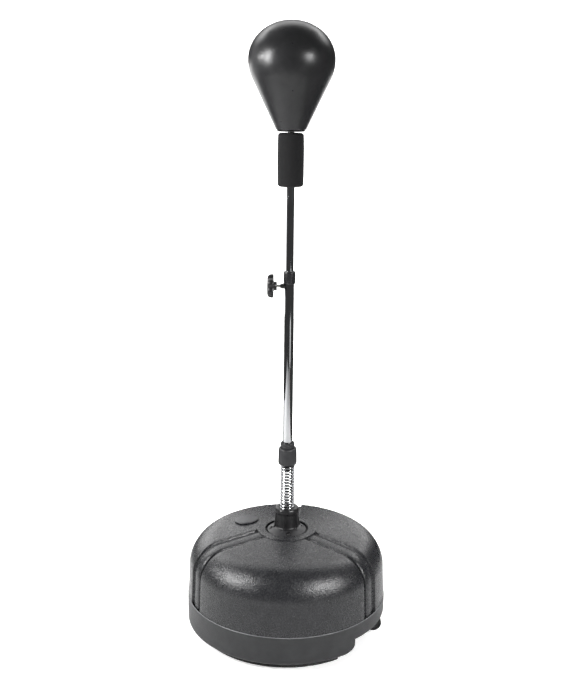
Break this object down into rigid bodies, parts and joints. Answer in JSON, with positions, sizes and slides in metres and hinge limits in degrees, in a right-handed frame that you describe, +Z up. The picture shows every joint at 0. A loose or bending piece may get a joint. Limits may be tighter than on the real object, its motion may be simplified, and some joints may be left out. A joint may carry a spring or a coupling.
{
  "type": "free-standing reflex ball",
  "caption": "Pear-shaped punch ball on a telescopic chrome pole, held by a coil spring in a round fillable base with transport wheels.",
  "frame": {"origin": "centre of the base on the floor, under the pole's axis", "axes": "+Z up along the pole; +X towards the transport wheels; -X towards the clamp knob"},
  "size_m": [0.4844, 0.4844, 1.4355],
  "materials": {
    "base_plastic": "fine moulded texture, dark grey",
    "black_plastic": "moulded, satin",
    "grey_plastic": "moulded, satin",
    "nylon": "natural nylon",
    "rubber": "matt",
    "foam": "closed-cell foam, matt",
    "chrome": "polished",
    "zinc_steel": "zinc plated",
    "dark_steel": "blackened",
    "ball_skin": "smooth coated, semi-gloss"
  },
  "bodies": {
    "base": {"tank_shell": "base_plastic", "base_tray": "base_plastic", "foot_ring": "rubber", "hub_socket": "black_plastic", "hub_seal": "rubber", "hub_backing_plate": "zinc_steel", "hub_screw_1": "zinc_steel", "hub_screw_2": "zinc_steel", "hub_screw_3": "zinc_steel", "hub_screw_4": "zinc_steel", "spring_lower_plug": "zinc_steel", "wheel_axle": "zinc_steel", "axle_cap_left": "black_plastic", "axle_cap_right": "black_plastic"},
    "spring_mid": {"spring": "chrome"},
    "lower_pole": {"spring_upper_plug": "zinc_steel", "spring_collar": "grey_plastic", "pole_collet": "grey_plastic", "lower_tube": "chrome", "clamp_collar": "black_plastic", "clamp_nut": "dark_steel"},
    "pad": {"clamp_pad": "nylon"},
    "knob": {"clamp_screw": "zinc_steel", "clamp_knob": "black_plastic"},
    "upper_pole": {"upper_tube": "chrome", "tube_end_plug": "black_plastic", "pole_top_plug": "zinc_steel", "foam_sleeve": "foam", "ball_plate": "black_plastic", "ball_inner_plate": "black_plastic", "ball_lock_nut": "black_plastic", "ball_stud": "zinc_steel", "ball": "ball_skin", "ball_valve": "rubber"},
    "filler": {"filler_plug": "base_plastic"},
    "wheel_l": {"wheel_left": "rubber"},
    "wheel_r": {"wheel_right": "rubber"}
  },
  "joints": [
    {"name": "sway_x", "type": "hinge", "parent": "base", "child": "spring_mid", "pos_m": [0, 0, 0.33], "axis": [1, 0, 0], "range_deg": [-50, 50], "stiffness_Nm_per_rad": 80, "deforming": ["spring"]},
    {"name": "sway_y", "type": "hinge", "parent": "spring_mid", "child": "lower_pole", "pos_m": [0, 0, 0.39], "axis": [0, 1, 0], "range_deg": [-50, 50], "stiffness_Nm_per_rad": 80, "deforming": ["spring"]},
    {"name": "pole_height", "type": "slide", "parent": "lower_pole", "child": "upper_pole", "axis": [0, 0, 1], "range_m": [-0.18, 0.13]},
    {"name": "pad_slide", "type": "slide", "parent": "lower_pole", "child": "pad", "axis": [-1, 0, 0], "range_m": [0, 0.0021]},
    {"name": "knob_turn", "type": "hinge", "parent": "pad", "child": "knob", "pos_m": [0, 0, 0.851], "axis": [-1, 0, 0], "range_deg": [0, 720]},
    {"name": "filler_pull", "type": "slide", "parent": "base", "child": "filler", "axis": [-0.0993, 0.0564, 0.9935], "range_m": [0, 0.03]},
    {"name": "wheel_l_roll", "type": "hinge", "parent": "base", "child": "wheel_l", "pos_m": [0.2125, -0.0575, 0.032], "axis": [0, 1, 0], "continuous": true},
    {"name": "wheel_r_roll", "type": "hinge", "parent": "base", "child": "wheel_r", "pos_m": [0.2125, 0.0575, 0.032], "axis": [0, 1, 0], "continuous": true}
  ],
  "couplings": [
    {"joint": "pad_slide", "follows": "knob_turn", "m_per_rad": 0.000159}
  ]
}
